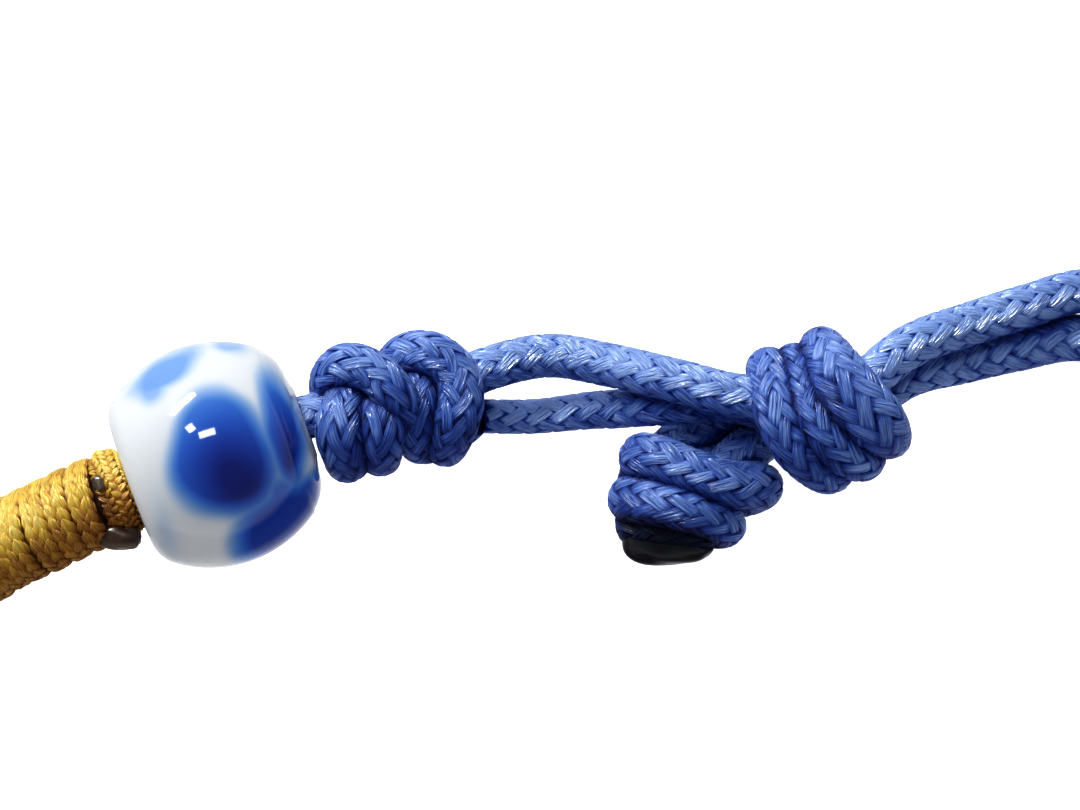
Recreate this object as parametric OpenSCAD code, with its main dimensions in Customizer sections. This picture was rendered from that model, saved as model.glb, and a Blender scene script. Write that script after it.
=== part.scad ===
// Adjustable cord bracelet with one porcelain bead, laid flat as a whole loop.
// Millimetres. The floor is z = 0, and the middle of the loop stands over the origin.

/* [Porcelain bead] */
// Largest diameter of the bead, across its hole
bead_d = 10; // [9:0.25:11]
// Length of the bead along its hole
bead_len = 7.9; // [7.7:0.1:8.2]
// Diameter of the hole for the cord
bead_hole_d = 2.8; // [2.6:0.1:3]
// Radius of the arc that crowns the bead's side
bead_crown_r = 5.6; // [5.2:0.1:7]
// Rounding where the side meets the flat ends
bead_edge_r = 1.6; // [0.8:0.1:1.8]
// Swell of the end by the knots beyond a flat end
bead_dome = 0.35; // [0:0.05:0.4]

/* [Waxed cord] */
// Diameter of the braided cord
cord_d = 2; // [1.8:0.05:2]
// Gap between the cord and what surrounds it
cord_gap = 0.15; // [0.12:0.01:0.2]
// Gap between pieces that sit on each other
seat_gap = 0.08; // [0.05:0.01:0.15]

/* [Gold winding] */
// Diameter of the band over the crests of the thread
winding_d = 4.2; // [3.9:0.05:4.2]
// Depth of the groove between two turns of thread
groove_depth = 0.22; // [0.1:0.02:0.4]
// Width of one turn of the thread
thread_pitch = 1.08; // [0.9:0.02:2]

/* [Hidden] */

CORD_BLUE = [0.2, 0.3, 0.62];
THREAD_GOLD = [0.72, 0.55, 0.13];
GLAZE_WHITE = [0.95, 0.96, 0.98];
MELTED_BLACK = [0.05, 0.06, 0.12];
SCORCHED_BROWN = [0.24, 0.15, 0.09];

cord_r = cord_d / 2;
passage_r = cord_r + cord_gap;
winding_r = winding_d / 2;
cord_sides = 8;
winding_sides = 8;
passage_facets = 12;
knot_facets = 8;
bead_facets = 64;
// Steps along the bead's outline: from the middle to the rounding, round it, and across the flat end
crown_steps = 8;
edge_steps = 6;
flat_steps = 3;
// Half turns of thread between two rings of the winding's bore
bore_half_turns = 4;
// Radii of the filled insides of the knots
bead_knot_core_r = 2.1;
strand_knot_core_r = 1.9;
slider_core_r = 2.8;
tail_core_r = 2.2;
// Straight steps between two rows of a route or a knot's table
cord_steps = 2;
knot_steps = 2;
far_steps = 1;

// The bead lies on its side: its hole runs along the cord, a little up to the right in plan.
bead_centre = [-14.45, 17.8, bead_d / 2];
bead_turn = 20;
bead_lip = 0.3;
// Roundness taken off the shoulder of the domed end
bead_shoulder = 0.15;

// Middle line of the cord that makes the whole loop: from the strand knot back through the slider,
// round the far knots, all along the winding, through the bead and its two knots, and again through
// the slider to the outer far knot
LOOP_ROUTE = [
    [-2.5, 19.5, 2.05], [-0.2, 19.5, 1.5], [2.8, 19.8, 1.7], [5.8, 19.8, 2.9], [9, 19.75, 2.95],
    [12.7, 19.1, 2.9], [16.3, 21.25, 2.4], [18.8, 21.9, 1.4], [21.3, 22.45, 1.05], [24, 22.9, 1.05],
    [26.7, 22.1, 1.2], [28.8, 19.6, 2.4], [31.5, 17.2, 3.1], [33.2, 14, 3], [34, 11.1, 2.8],
    [34.3, 5, 2.3], [33.8, -1.5, 2.15], [31, -9, winding_r], [25, -16, winding_r],
    [17, -21, winding_r], [8, -23.5, winding_r], [-2, -24, winding_r], [-12, -23.2, winding_r],
    [-21, -20.2, winding_r], [-28, -15, winding_r], [-32.5, -8.5, winding_r], [-34.3, -1, winding_r],
    [-32.5, 5.2, 2.2], [-28.5, 10.4, 2.5], [-24.5, 13.35, 3.3], [-22, 14.6, 4.3], [-19.7, 15.7, 4.95],
    [-18.3, 16.3, 5], [-14.45, 17.8, 5], [-10.7, 19.35, 4.9], [-8.2, 20, 4.3], [-4.6, 20.6, 3.2],
    [-2.4, 21.6, 2.9], [0.3, 22.2, 2.5], [3, 21.8, 3.2], [6.2, 21.05, 4.7], [9, 20.4, 5.1],
    [13.1, 20.3, 4.9], [16.4, 22.6, 4.2], [19.1, 23.6, 3], [21.8, 24.45, 2.3], [24.4, 25.1, 1.5],
    [27.4, 24.5, 1.2], [30.2, 22.4, 1.8], [31.8, 20.4, 2.3], [32.7, 19.1, 2.4]
];
// Rows of the route where things begin and end
winding_far_row = 14;
cords_meet_row = 21;
winding_bead_row = 32;
last_row = len(LOOP_ROUTE) - 1;
// First and last rows of the stretches that run through the knots
BEAD_KNOT_ROWS = [34, 36];
STRAND_KNOT_ROWS = [35, 38];
STRAND_END_ROWS = [0, 1];
SLIDER_LOW_ROWS = [4, 7];
SLIDER_HIGH_ROWS = [41, 44];
FAR_OUTER_ROWS = [11, 13];
FAR_INNER_ROWS = [12, 14];
FAR_END_ROWS = [last_row - 1, last_row];

// Knot tables: a cord runs through the rows, from the middle of the knot along the loop, across it
// and up, and the last value is its radius there as a share of the free cord's.
BEAD_KNOT_PLACE = [-8.05, 19.65, 4];
STRAND_KNOT_PLACE = [-4.7, 20.3, 3.1];
SLIDER_PLACE = [12.9, 19.7, 3.85];
slider_turn = 14;
TAIL_PLACE = [6.75, 15.6, 2.9];
tail_turn = -20;
FAR_OUTER_PLACE = [31.8, 17.2, 3.1];
FAR_INNER_PLACE = [33.2, 14.1, 3.1];
far_turn = 113;

// Two turns side by side, crossed by the cord's own band over the top
// [along, across, up, radius]
BEAD_KNOT_TURNS = [
    [2.1, -0.8, 0.2, 0.9], [1.7, 0.6, 1.9, 1], [0.8, 1.7, 2.1, 1], [-0.4, 2.1, 1.8, 1.05],
    [-1.1, 1.6, 1, 1.05], [-1.3, 0.7, -0.4, 0.9], [-1.1, -0.9, -1.6, 0.9], [-0.6, -2, -0.4, 1],
    [-0.5, -1.9, 0.9, 1.1], [-0.8, -0.8, 1.9, 1.15], [-0.6, 0.5, 1.5, 1], [-0.2, 1.7, 0, 0.9],
    [0.2, 1.3, -1.6, 0.9], [0.7, -0.6, -2, 0.9], [1, -1.8, -0.9, 0.9], [0.9, -1.7, 0.6, 1.05],
    [1, -0.7, 1.8, 1.1], [0.9, 0.4, 1.4, 1]
];

// One turn low on the left, and a second that rises on the right and arches back over the top
// [along, across, up, radius]
STRAND_KNOT_TURNS = [
    [1.6, -0.9, -0.9, 0.9], [1, -1.4, -1.5, 0.9], [-0.2, -2, -1, 0.9], [-0.7, -1.8, 0.5, 1.05],
    [-0.8, -0.8, 1.7, 1.1], [-0.7, 0.4, 1.5, 1], [-0.5, 1.5, 0.2, 0.9], [0, 1.5, -1.3, 0.9],
    [0.5, 0, -2, 0.9], [0.6, -1.8, -1, 0.9], [0.5, -2, 0.5, 1.05], [0.9, -1.1, 1.8, 1.1],
    [1.2, -0.1, 2.1, 1.05], [1, 1, 2, 1.05], [0.2, 1.8, 1.9, 1.05], [-0.8, 2, 1.5, 1.05],
    [-1.6, 1.6, 0.9, 1], [-2, 0.6, 0, 0.9]
];

// Three slanting turns round both strands, the last one widest and on top
// [along, across, up, radius]
SLIDER_TURNS = [
    [-2.8, -0.9, -1.8, 0.9], [-2.6, 0.8, -2, 0.9], [-2.3, 2.1, -0.8, 1], [-2.2, 2.4, 0.7, 1.05],
    [-2.3, 0.7, 2.2, 1.1], [-1.9, -1.1, 2.1, 1.1], [-0.9, -2.4, 0.8, 1.1], [-0.4, -2.4, -1, 0.9],
    [-0.9, -0.8, -2.7, 0.9], [-1.2, 1, -2.6, 0.9], [-1.2, 2.3, -1, 0.9], [-0.9, 2.2, 0.8, 1],
    [-0.9, 0, 2.3, 1.1], [-0.1, -1.6, 2, 1.1], [0.8, -2.3, 0.6, 1.1], [1, -2, -1.4, 0.9],
    [0.6, -0.2, -2.8, 0.9], [0.3, 1.6, -2.2, 0.9], [0.2, 2.7, -0.4, 0.95], [0.4, 2.6, 1.2, 1.1],
    [0.9, 0.9, 2.7, 1.4], [1.7, -0.7, 2.5, 1.4], [2.2, -1.6, 1.1, 1.1], [2.3, -1.6, -0.6, 0.9],
    [2.2, -0.5, -2.2, 0.9], [1.4, 0.9, -2.3, 0.9]
];

// Three flat turns that taper towards the melted end
// [along, across, up, radius]
TAIL_TURNS = [
    [2.2, 1.6, -0.9, 0.9], [1.2, 2, -1.5, 0.9], [-0.6, 1.9, -1.9, 0.9], [-2.1, 1.4, -1.1, 0.95],
    [-2.7, 1.2, 0.3, 1.15], [-2, 1.35, 1.5, 1.1], [-0.4, 1.3, 1.9, 1.1], [1.3, 1.4, 1.7, 1.1],
    [2.6, 1.8, 0.4, 1.05], [2, 1, -1.5, 0.9], [-0.4, -0.2, -1.9, 0.9], [-2.3, -0.6, -1, 1],
    [-2.45, -0.7, 0.6, 1.15], [-1.1, -0.4, 1.8, 1.1], [0.6, -0.2, 1.6, 1.1], [1.7, -0.4, 0.2, 1],
    [0.8, -0.9, -1.5, 0.9], [-1.1, -1.5, -1.4, 0.9], [-2, -1.7, -0.1, 1], [-0.9, -1.2, 0.9, 1.05],
    [0.5, -0.8, 0.8, 1.05], [1, -0.9, -0.2, 0.9]
];

// Two ends of the slider's cord, from beside the slider down to the tail knot
// [x, y, z, radius]
TAIL_LOOP = [
    [9.5, 19.9, 0.9, 0.85], [8.6, 19.6, 0.9, 0.85], [7.3, 19.3, 0.9, 0.85], [6.2, 18.6, 1.1, 0.9],
    [5.4, 17.7, 2.1, 0.95]
];
TAIL_STRAND = [
    [10.9, 18.8, 0.97, 0.93], [9.9, 18.25, 1.3, 0.97], [9, 17.5, 2.3, 1.08], [7.9, 16.7, 3.2, 1.1]
];

// Melted tip under the tail knot's last turn
// [along, across, up, radius]
MELTED_ROWS = [
    [-1.75, -2.15, -0.4, 0.9], [-0.7, -2.25, -0.4, 0.9], [0.3, -1.45, -0.4, 0.85],
    [-1.55, -2.15, 0.4, 0.9], [-0.6, -2.2, 0.4, 0.85], [0.2, -1.45, 0.5, 0.8]
];

// Middles of the spheres that make the two scorched ends of the gold thread
// [x, y, z, radius]
SMALL_END_ROWS = [
    [-20.05, 16.2, 6.85, 0.3], [-19.55, 16.2, 6.85, 0.3], [-20.05, 16.6, 6.85, 0.3],
    [-19.55, 16.6, 6.85, 0.3]
];
LARGE_END_ROWS = [[-19.3, 14.35, 5.9, 0.5], [-18.4, 14.45, 5.85, 0.5], [-18.8, 14, 5.65, 0.5]];

// Point of a smooth curve through the points p, at part f of the step after point i
function between(p, i, f) =
    let (a = p[max(i - 1, 0)], b = p[i], c = p[i + 1], d = p[min(i + 2, len(p) - 1)])
    b + (c - a) * f / 2 + (2 * a - 5 * b + 4 * c - d) * f * f / 2
    + (3 * b - 3 * c + d - a) * f * f * f / 2;

// The same curve from one point to another, as a list with a number of steps between two points
function stretch(p, from, to, steps) = [
    for (i = [from : to - 1], k = [0 : steps - 1]) between(p, i, k / steps),
    p[to]
];

function unit(v) = v / norm(v);

function heading(p, i) = unit(p[min(i + 1, len(p) - 1)] - p[max(i - 1, 0)]);

// Distances from the first point to each point of a line
function distances(p, i = 0, total = 0) =
    i >= len(p) ? [] :
    let (here = i == 0 ? 0 : total + norm(p[i] - p[i - 1])) concat([here], distances(p, i + 1, here));

function last_before(far, want, low, high) =
    high - low <= 1 ? low :
    let (middle = floor((low + high) / 2))
    far[middle] <= want ? last_before(far, want, middle, high) : last_before(far, want, low, middle);

function point_along(p, far, want) =
    let (i = min(last_before(far, want, 0, len(far) - 1), len(p) - 2),
         part = (want - far[i]) / (far[i + 1] - far[i]))
    p[i] + (p[i + 1] - p[i]) * part;

// Rows of a knot's table with a margin added all round
function grown(rows, margin) = [for (row = rows) row + [0, 0, 0, margin / cord_r]];

// Points of one ring of a tube, square to the heading, with its first point straight up
function ring(p, i, r, sides) =
    let (ahead = heading(p, i), side = unit(cross(ahead, [0, 0, 1])), up = cross(side, ahead))
    [for (k = [0 : sides - 1]) p[i] + r * (up * cos(360 * k / sides) + side * sin(360 * k / sides))];

// Faces between rings that follow each other, facing out or in
function skin(rings, sides, first = 0, out = true) = [
    for (i = [0 : rings - 2], k = [0 : sides - 1])
        let (a = first + i * sides + k, b = first + i * sides + (k + 1) % sides,
             quad = [a, b, b + sides, a + sides])
        for (half = [[quad[0], quad[2], quad[1]], [quad[0], quad[3], quad[2]]])
            out ? half : [half[2], half[1], half[0]]
];

// Plain round cord along a stretch of the loop
module cord_piece(from, to) {
    p = stretch(LOOP_ROUTE, from, to, cord_steps);
    points = [for (i = [0 : len(p) - 1]) each ring(p, i, cord_r, cord_sides)];
    last = (len(p) - 1) * cord_sides;
    start_cap = [for (k = [1 : cord_sides - 2]) [0, k, k + 1]];
    end_cap = [for (k = [1 : cord_sides - 2]) [last, last + k + 1, last + k]];
    color(CORD_BLUE) polyhedron(points, concat(skin(len(p), cord_sides), start_cap, end_cap));
}

// Clear way for the cord through a knot
module passage(rows) {
    p = stretch(LOOP_ROUTE, rows[0], rows[1], cord_steps);
    for (i = [0 : len(p) - 2]) hull() {
        translate(p[i]) sphere(passage_r, $fn = passage_facets);
        translate(p[i + 1]) sphere(passage_r, $fn = passage_facets);
    }
}

// Hull of spheres, grown all round by a margin
module blob(rows, margin = 0) {
    hull() for (row = rows) translate([row[0], row[1], row[2]])
        sphere(row[3] + margin, $fn = passage_facets);
}

// A squeezed cord along the rows of a knot's table
module knot_chain(rows, steps = knot_steps) {
    p = stretch(rows, 0, len(rows) - 1, steps);
    for (i = [0 : len(p) - 2]) hull() {
        knot_link(p[i]);
        knot_link(p[i + 1]);
    }
}

module knot_link(row) {
    translate([row[0], row[1], row[2]]) sphere(row[3] * cord_r, $fn = knot_facets);
}

// Turns of a knot, with its inside filled where they press together
module filled_knot(turns, core_r, steps = knot_steps) {
    knot_chain(turns, steps);
    sphere(core_r, $fn = passage_facets);
}

module at(place, turn = 0) {
    translate(place) rotate([0, 0, turn]) children();
}

// A point of the bead's outline, moved out with the swell of that end
function domed(p, hole_r) =
    let (share = (bead_d / 2 - p[0]) / (bead_d / 2 - hole_r))
    [p[0] - bead_shoulder * pow(sin(180 * share), 2), p[1] + bead_dome * share * share];

module porcelain_bead() {
    half = bead_len / 2;
    crown_drop = bead_crown_r - bead_d / 2;
    // Middle of the rounding between the crown's arc and the flat end
    edge_z = half - bead_edge_r;
    edge_x = sqrt(pow(bead_crown_r - bead_edge_r, 2) - edge_z * edge_z) - crown_drop;
    crown_end = atan2(edge_z, edge_x + crown_drop);
    side = [for (k = [0 : 2 * crown_steps]) let (a = crown_end * (k / crown_steps - 1))
        [bead_crown_r * cos(a) - crown_drop, bead_crown_r * sin(a)]];
    top_edge = [for (k = [1 : edge_steps]) let (a = crown_end + (90 - crown_end) * k / edge_steps)
        [edge_x + bead_edge_r * cos(a), edge_z + bead_edge_r * sin(a)]];
    low_edge = [for (k = [edge_steps : -1 : 1])
        let (a = crown_end + (90 - crown_end) * k / edge_steps)
        [edge_x + bead_edge_r * cos(a), -edge_z - bead_edge_r * sin(a)]];
    hole_r = bead_hole_d / 2;
    top_flat = [for (k = [1 : flat_steps])
        [edge_x + (hole_r + bead_lip - edge_x) * k / flat_steps, half]];
    color(GLAZE_WHITE) translate(bead_centre) rotate([0, 90, bead_turn])
        rotate_extrude($fn = bead_facets) polygon(concat(
            [[hole_r + bead_lip, -half]], low_edge, side,
            [for (p = concat(top_edge, top_flat)) domed(p, hole_r)],
            [[hole_r, half + bead_dome - bead_lip], [hole_r, bead_lip - half]]));
}

module gold_winding() {
    fine_steps = 24;
    middle = stretch(LOOP_ROUTE, winding_far_row, winding_bead_row, fine_steps);
    far = distances(middle);
    length = far[len(far) - 1];
    // Rings at equal steps of half a turn, each in a groove or on a crest
    half_turns = 2 * floor(length / thread_pitch);
    line = [for (k = [0 : half_turns]) point_along(middle, far, length * k / half_turns)];
    sides = winding_sides;
    outer = [for (i = [0 : half_turns])
        each ring(line, i, winding_r - (i % 2 == 0 ? groove_depth : 0), sides)];
    bore_count = floor(half_turns / bore_half_turns);
    bore_line = [for (k = [0 : bore_count]) point_along(middle, far, length * k / bore_count)];
    inner = [for (i = [0 : bore_count]) each ring(bore_line, i, passage_r, sides)];
    first_inner = len(outer);
    last_outer = half_turns * sides;
    last_inner = first_inner + bore_count * sides;
    start_face = [for (k = [0 : sides - 1]) let (n = (k + 1) % sides)
        each [[k, first_inner + n, first_inner + k], [k, n, first_inner + n]]];
    end_face = [for (k = [0 : sides - 1]) let (n = (k + 1) % sides)
        each [[last_outer + k, last_inner + n, last_outer + n],
              [last_outer + k, last_inner + k, last_inner + n]]];
    color(THREAD_GOLD) polyhedron(concat(outer, inner), concat(
        skin(half_turns + 1, sides), skin(bore_count + 1, sides, first_inner, false),
        start_face, end_face));
}

module closing_cord() {
    cord_piece(0, cords_meet_row);
}

module bead_cord() {
    // One row is left out, so that the two cords' ends keep apart inside the winding
    cord_piece(cords_meet_row + 1, last_row);
}

module bead_knot() {
    color(CORD_BLUE) difference() {
        at(BEAD_KNOT_PLACE) filled_knot(BEAD_KNOT_TURNS, bead_knot_core_r);
        passage(BEAD_KNOT_ROWS);
    }
}

module strand_knot() {
    color(CORD_BLUE) difference() {
        at(STRAND_KNOT_PLACE) filled_knot(STRAND_KNOT_TURNS, strand_knot_core_r);
        at(BEAD_KNOT_PLACE)
            filled_knot(grown(BEAD_KNOT_TURNS, seat_gap), bead_knot_core_r + seat_gap);
        passage(STRAND_KNOT_ROWS);
        passage(STRAND_END_ROWS);
    }
}

module slider_knot() {
    color(CORD_BLUE) difference() {
        at(SLIDER_PLACE, slider_turn) filled_knot(SLIDER_TURNS, slider_core_r);
        passage(SLIDER_LOW_ROWS);
        passage(SLIDER_HIGH_ROWS);
        knot_chain(grown(TAIL_LOOP, cord_gap), 1);
        knot_chain(grown(TAIL_STRAND, cord_gap), 1);
    }
}

module tail_knot() {
    color(CORD_BLUE) difference() {
        union() {
            at(TAIL_PLACE, tail_turn) filled_knot(TAIL_TURNS, tail_core_r);
            knot_chain(TAIL_LOOP);
            knot_chain(TAIL_STRAND);
        }
        at(TAIL_PLACE, tail_turn) blob(MELTED_ROWS, seat_gap);
    }
}

module melted_end() {
    color(MELTED_BLACK) at(TAIL_PLACE, tail_turn) blob(MELTED_ROWS);
}

module far_knot_outer() {
    color(CORD_BLUE) difference() {
        at(FAR_OUTER_PLACE, far_turn) filled_knot(STRAND_KNOT_TURNS, strand_knot_core_r, far_steps);
        at(FAR_INNER_PLACE, far_turn)
            filled_knot(grown(BEAD_KNOT_TURNS, seat_gap), bead_knot_core_r + seat_gap, far_steps);
        passage(FAR_OUTER_ROWS);
        passage(FAR_END_ROWS);
    }
}

module far_knot_inner() {
    color(CORD_BLUE) difference() {
        at(FAR_INNER_PLACE, far_turn) filled_knot(BEAD_KNOT_TURNS, bead_knot_core_r, far_steps);
        passage(FAR_INNER_ROWS);
    }
}

// The winding's outside beside the bead, with the seat's gap round it
module winding_room() {
    behind = LOOP_ROUTE[winding_bead_row - 1];
    ahead = LOOP_ROUTE[winding_bead_row] - behind;
    translate(behind) rotate([0, 90, atan2(ahead[1], ahead[0])])
        cylinder(r = winding_r + seat_gap, h = winding_d, center = true, $fn = bead_facets);
}

module thread_end(rows) {
    color(SCORCHED_BROWN) difference() {
        blob(rows);
        winding_room();
    }
}

module thread_end_small() {
    thread_end(SMALL_END_ROWS);
}

module thread_end_large() {
    thread_end(LARGE_END_ROWS);
}

porcelain_bead();
gold_winding();
bead_cord();
closing_cord();
bead_knot();
strand_knot();
slider_knot();
tail_knot();
melted_end();
far_knot_inner();
far_knot_outer();
thread_end_small();
thread_end_large();
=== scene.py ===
import math
from collections import namedtuple
import bpy
import numpy as np
from mathutils import Matrix


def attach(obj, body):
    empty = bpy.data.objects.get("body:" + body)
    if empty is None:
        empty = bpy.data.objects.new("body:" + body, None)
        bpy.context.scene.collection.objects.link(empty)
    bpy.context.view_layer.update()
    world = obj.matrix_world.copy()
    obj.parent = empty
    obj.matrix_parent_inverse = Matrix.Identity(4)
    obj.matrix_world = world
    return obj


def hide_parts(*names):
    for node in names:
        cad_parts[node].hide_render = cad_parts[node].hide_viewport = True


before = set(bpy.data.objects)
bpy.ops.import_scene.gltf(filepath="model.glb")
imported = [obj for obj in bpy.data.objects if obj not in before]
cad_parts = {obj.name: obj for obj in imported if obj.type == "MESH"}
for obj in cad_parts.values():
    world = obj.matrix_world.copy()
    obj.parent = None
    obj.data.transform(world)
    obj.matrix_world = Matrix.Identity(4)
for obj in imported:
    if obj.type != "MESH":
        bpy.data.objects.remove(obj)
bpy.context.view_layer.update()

# Sizes, in metres
MM = 0.001
CORD_R = 0.001
WINDING_R = 0.0021
THREAD_PITCH = 0.00108
THREAD_R = THREAD_PITCH / 2
BEAD_R = 0.005
BEAD_LEN = 0.0079
BEAD_HOLE_R = 0.0014
BEAD_CENTRE = (-0.01445, 0.0178, 0.005)
BEAD_TURN = math.radians(20)

# Camera and the part of the loop that the picture shows; lens and sensor are in millimetres
PICTURE_MIDDLE = (0, 0.02, 0.004)
PICTURE_WIDTH = 0.048
LENS = 450
SENSOR = 36

# Middle line of the cord that makes the whole loop
LOOP_ROUTE = [
    (-0.0025, 0.0195, 0.00205), (-0.0002, 0.0195, 0.0015), (0.0028, 0.0198, 0.0017),
    (0.0058, 0.0198, 0.0029), (0.009, 0.01975, 0.00295), (0.0127, 0.0191, 0.0029),
    (0.0163, 0.02125, 0.0024), (0.0188, 0.0219, 0.0014), (0.0213, 0.02245, 0.00105),
    (0.024, 0.0229, 0.00105), (0.0267, 0.0221, 0.0012), (0.0288, 0.0196, 0.0024),
    (0.0315, 0.0172, 0.0031), (0.0332, 0.014, 0.003), (0.034, 0.0111, 0.0028),
    (0.0343, 0.005, 0.0023), (0.0338, -0.0015, 0.00215), (0.031, -0.009, 0.0021),
    (0.025, -0.016, 0.0021), (0.017, -0.021, 0.0021), (0.008, -0.0235, 0.0021),
    (-0.002, -0.024, 0.0021), (-0.012, -0.0232, 0.0021), (-0.021, -0.0202, 0.0021),
    (-0.028, -0.015, 0.0021), (-0.0325, -0.0085, 0.0021), (-0.0343, -0.001, 0.0021),
    (-0.0325, 0.0052, 0.0022), (-0.0285, 0.0104, 0.0025), (-0.0245, 0.01335, 0.0033),
    (-0.022, 0.0146, 0.0043), (-0.0197, 0.0157, 0.00495), (-0.0183, 0.0163, 0.005),
    (-0.01445, 0.0178, 0.005), (-0.0107, 0.01935, 0.0049), (-0.0082, 0.02, 0.0043),
    (-0.0046, 0.0206, 0.0032), (-0.0024, 0.0216, 0.0029), (0.0003, 0.0222, 0.0025),
    (0.003, 0.0218, 0.0032), (0.0062, 0.02105, 0.0047), (0.009, 0.0204, 0.0051),
    (0.0131, 0.0203, 0.0049), (0.0164, 0.0226, 0.0042), (0.0191, 0.0236, 0.003),
    (0.0218, 0.02445, 0.0023), (0.0244, 0.0251, 0.0015), (0.0274, 0.0245, 0.0012),
    (0.0302, 0.0224, 0.0018), (0.0318, 0.0204, 0.0023), (0.0327, 0.0191, 0.0024),
]
WINDING_FAR_ROW = 14
CORDS_MEET_ROW = 21
WINDING_BEAD_ROW = 32
# Steps of the smooth curve between two rows of a route or a knot
CURVE_STEPS = 24

# How the closing cord departs from the plain round form, at distances from its end by the bead's
# knots: the share of its full radius that shows, and how far its neighbours push it along y
CLOSING_SLIM = ((0, 0.78), (0.003, 0.8), (0.0055, 0.88), (0.0085, 0.95), (0.012, 1), (0.021, 1),
                (0.0255, 1.07), (0.03, 1.07), (0.035, 1))
CLOSING_ASIDE = ((0, 0), (0.006, 0), (0.0105, 0.0004), (0.0135, 0.0003), (0.017, 0), (0.021, 0),
                 (0.0253, 0.0001), (0.03, 0.0001), (0.035, 0))

# Knot tables: places of the squeezed cord along the loop, across it and up, then its radius,
# all in cord radii, from the knot's own place
BEAD_KNOT_TURNS = [
    (2.1, -0.8, 0.2, 0.9), (1.7, 0.6, 1.9, 1), (0.8, 1.7, 2.1, 1), (-0.4, 2.1, 1.8, 1.05),
    (-1.1, 1.6, 1, 1.05), (-1.3, 0.7, -0.4, 0.9), (-1.1, -0.9, -1.6, 0.9), (-0.6, -2, -0.4, 1),
    (-0.5, -1.9, 0.9, 1.1), (-0.8, -0.8, 1.9, 1.15), (-0.6, 0.5, 1.5, 1), (-0.2, 1.7, 0, 0.9),
    (0.2, 1.3, -1.6, 0.9), (0.7, -0.6, -2, 0.9), (1, -1.8, -0.9, 0.9), (0.9, -1.7, 0.6, 1.05),
    (1, -0.7, 1.8, 1.1), (0.9, 0.4, 1.4, 1),
]
STRAND_KNOT_TURNS = [
    (1.6, -0.9, -0.9, 0.9), (1, -1.4, -1.5, 0.9), (-0.2, -2, -1, 0.9), (-0.7, -1.8, 0.5, 1.05),
    (-0.8, -0.8, 1.7, 1.1), (-0.7, 0.4, 1.5, 1), (-0.5, 1.5, 0.2, 0.9), (0, 1.5, -1.3, 0.9),
    (0.5, 0, -2, 0.9), (0.6, -1.8, -1, 0.9), (0.5, -2, 0.5, 1.05), (0.9, -1.1, 1.8, 1.1),
    (1.2, -0.1, 2.1, 1.05), (1, 1, 2, 1.05), (0.2, 1.8, 1.9, 1.05), (-0.8, 2, 1.5, 1.05),
    (-1.6, 1.6, 0.9, 1), (-2, 0.6, 0, 0.9),
]
SLIDER_TURNS = [
    (-2.8, -0.9, -1.8, 0.9), (-2.6, 0.8, -2, 0.9), (-2.3, 2.1, -0.8, 1), (-2.2, 2.4, 0.7, 1.05),
    (-2.3, 0.7, 2.2, 1.1), (-1.9, -1.1, 2.1, 1.1), (-0.9, -2.4, 0.8, 1.1), (-0.4, -2.4, -1, 0.9),
    (-0.9, -0.8, -2.7, 0.9), (-1.2, 1, -2.6, 0.9), (-1.2, 2.3, -1, 0.9), (-0.9, 2.2, 0.8, 1),
    (-0.9, 0, 2.3, 1.1), (-0.1, -1.6, 2, 1.1), (0.8, -2.3, 0.6, 1.1), (1, -2, -1.4, 0.9),
    (0.6, -0.2, -2.8, 0.9), (0.3, 1.6, -2.2, 0.9), (0.2, 2.7, -0.4, 0.95), (0.4, 2.6, 1.2, 1.1),
    (0.9, 0.9, 2.7, 1.4), (1.7, -0.7, 2.5, 1.4), (2.2, -1.6, 1.1, 1.1), (2.3, -1.6, -0.6, 0.9),
    (2.2, -0.5, -2.2, 0.9), (1.4, 0.9, -2.3, 0.9),
]
TAIL_TURNS = [
    (2.2, 1.6, -0.9, 0.9), (1.2, 2, -1.5, 0.9), (-0.6, 1.9, -1.9, 0.9), (-2.1, 1.4, -1.1, 0.95),
    (-2.7, 1.2, 0.3, 1.15), (-2, 1.35, 1.5, 1.1), (-0.4, 1.3, 1.9, 1.1), (1.3, 1.4, 1.7, 1.1),
    (2.6, 1.8, 0.4, 1.05), (2, 1, -1.5, 0.9), (-0.4, -0.2, -1.9, 0.9), (-2.3, -0.6, -1, 1),
    (-2.45, -0.7, 0.6, 1.15), (-1.1, -0.4, 1.8, 1.1), (0.6, -0.2, 1.6, 1.1), (1.7, -0.4, 0.2, 1),
    (0.8, -0.9, -1.5, 0.9), (-1.1, -1.5, -1.4, 0.9), (-2, -1.7, -0.1, 1), (-0.9, -1.2, 0.9, 1.05),
    (0.5, -0.8, 0.8, 1.05), (1, -0.9, -0.2, 0.9),
]
# The two ends of the slider's cord, down to the tail knot, from the origin
TAIL_LOOP = [
    (9.5, 19.8, 1.05, 0.9), (8.6, 19.45, 1.05, 1), (7.3, 19.1, 1.05, 1.02), (6.2, 18.5, 1.2, 0.95),
    (5.4, 17.7, 2.1, 0.95),
]
TAIL_STRAND = [
    (10.9, 18.8, 0.97, 0.93), (9.8, 18.4, 1.3, 1.05), (8.9, 17.65, 2.3, 1.12), (7.9, 16.7, 3.2, 1.1),
]
# Hidden stretch between the tail knot's first two turns
TAIL_INSIDE = [
    (-2.1, 1.4, -1.1, 0.9), (-2.55, 0.8, -0.5, 0.95), (-2.55, 0, -0.3, 0.95),
    (-2.3, -0.6, -1, 0.95),
]
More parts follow.
